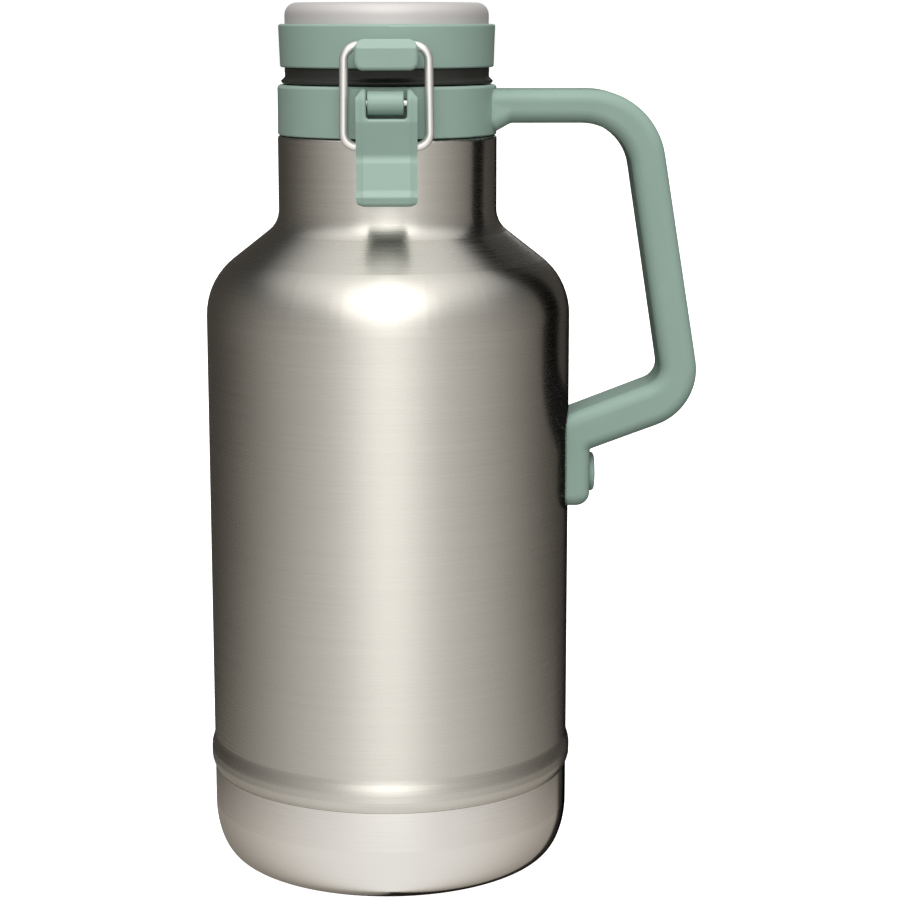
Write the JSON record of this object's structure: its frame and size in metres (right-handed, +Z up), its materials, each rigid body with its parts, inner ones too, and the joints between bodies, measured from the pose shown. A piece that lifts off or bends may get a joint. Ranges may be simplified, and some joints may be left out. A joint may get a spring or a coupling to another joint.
{
  "type": "insulated growler",
  "caption": "Insulated steel growler: double-wall bottle with mirror base, plastic collar and carry handle, hinged flip lid with steel cap, wire bail and lever latch.",
  "frame": {"origin": "centre of the flat base, on the surface it stands on", "axes": "+Z up along the bottle's axis, +X towards the handle, -Y towards the latch"},
  "size_m": [0.1655, 0.124, 0.2897],
  "materials": {
    "brushed_steel": "satin, fine lines round the body",
    "inner_steel": "matt, electropolished",
    "polished_steel": "mirror",
    "satin_steel": "satin",
    "plated_steel": "plated",
    "bright_wire": "bright drawn wire",
    "getter_metal": "matt",
    "solder": "matt",
    "sage_plastic": "satin moulded",
    "liner_plastic": "satin moulded",
    "foam": "foam",
    "silicone": "matt silicone"
  },
  "bodies": {
    "bottle": {"outer_shell": "brushed_steel", "inner_vessel": "inner_steel", "outer_bottom": "inner_steel", "vacuum_plug": "solder", "vacuum_getter": "getter_metal", "base_cup": "polished_steel", "handle_collar": "sage_plastic", "handle_boss": "inner_steel", "handle_screw": "plated_steel", "screw_cover": "sage_plastic", "latch_pin": "plated_steel", "hinge_pin": "plated_steel"},
    "lever": {"latch_lever": "sage_plastic"},
    "bail_loop": {"bail": "bright_wire"},
    "lid": {"lid_ring": "sage_plastic", "lid_cap": "satin_steel", "lid_liner": "liner_plastic", "lid_insulation": "foam", "lid_seal": "silicone", "lid_screws": "plated_steel"}
  },
  "joints": [
    {"name": "latch_lever_hinge", "type": "hinge", "parent": "bottle", "child": "lever", "pos_m": [0, -0.0416, 0.2584], "axis": [-1, 0, 0], "range_deg": [0, 90]},
    {"name": "bail_swing", "type": "hinge", "parent": "lever", "child": "bail_loop", "pos_m": [0, -0.0399, 0.2446], "axis": [1, 0, 0], "range_deg": [0, 58.5]},
    {"name": "lid_hinge", "type": "hinge", "parent": "bottle", "child": "lid", "pos_m": [0, 0.041, 0.2654], "axis": [-1, 0, 0], "range_deg": [0, 110]}
  ],
  "couplings": [
    {"joint": "bail_swing", "follows": "latch_lever_hinge", "ratio": 0.65}
  ]
}
